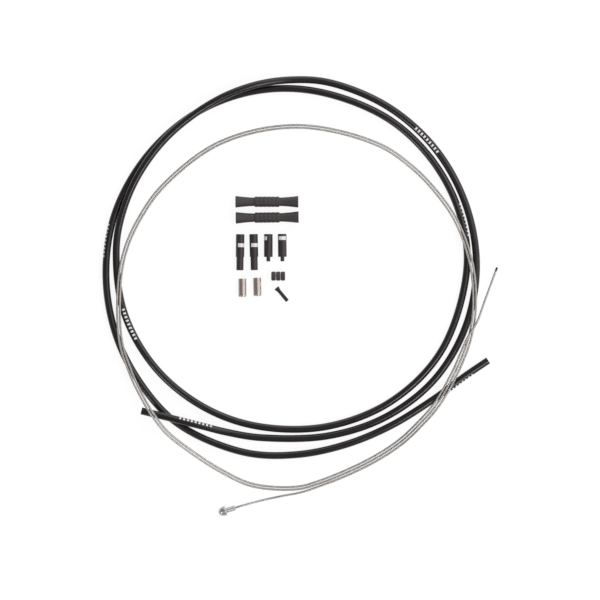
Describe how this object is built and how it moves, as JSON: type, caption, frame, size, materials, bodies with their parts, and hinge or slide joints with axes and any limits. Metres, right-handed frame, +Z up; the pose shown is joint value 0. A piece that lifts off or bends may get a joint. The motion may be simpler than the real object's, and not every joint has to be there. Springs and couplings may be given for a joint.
{
  "type": "bicycle brake cable",
  "caption": "Bicycle brake cable laid out unfitted: coiled black outer housing, headed steel inner wire, and its sleeves, ferrules, donuts and end crimp.",
  "frame": {"origin": "middle of the laid-out cable's box, at the floor", "axes": "+Z up from the floor it lies on, +X to the picture's right, +Y to the picture's upper edge"},
  "size_m": [0.273, 0.3031, 0.0124],
  "materials": {
    "jacket": "smooth extruded black polymer, semi-gloss",
    "strip": "galvanised flat steel strip",
    "liner": "white low-friction polymer",
    "wire": "drawn stainless strands",
    "head": "bright die-cast zinc alloy",
    "rubber": "soft black rubber, satin",
    "plastic": "moulded black polymer, satin",
    "nickel": "warm nickel plating on drawn brass",
    "crimp": "black anodised aluminium"
  },
  "bodies": {
    "root": {"housing_jacket": "jacket", "housing_steel_strip": "strip", "housing_liner": "liner", "inner_wire": "wire", "cable_head": "head", "frame_sleeve_upper": "rubber", "frame_sleeve_lower": "rubber", "long_nose_ferrule_left": "plastic", "long_nose_ferrule_right": "plastic", "thin_nose_ferrule_left": "plastic", "thin_nose_ferrule_right": "plastic", "metal_ferrule_left": "nickel", "metal_ferrule_right": "nickel", "wire_donut_left": "rubber", "wire_donut_middle": "rubber", "wire_donut_right": "rubber", "end_crimp": "crimp"}
  },
  "joints": []
}
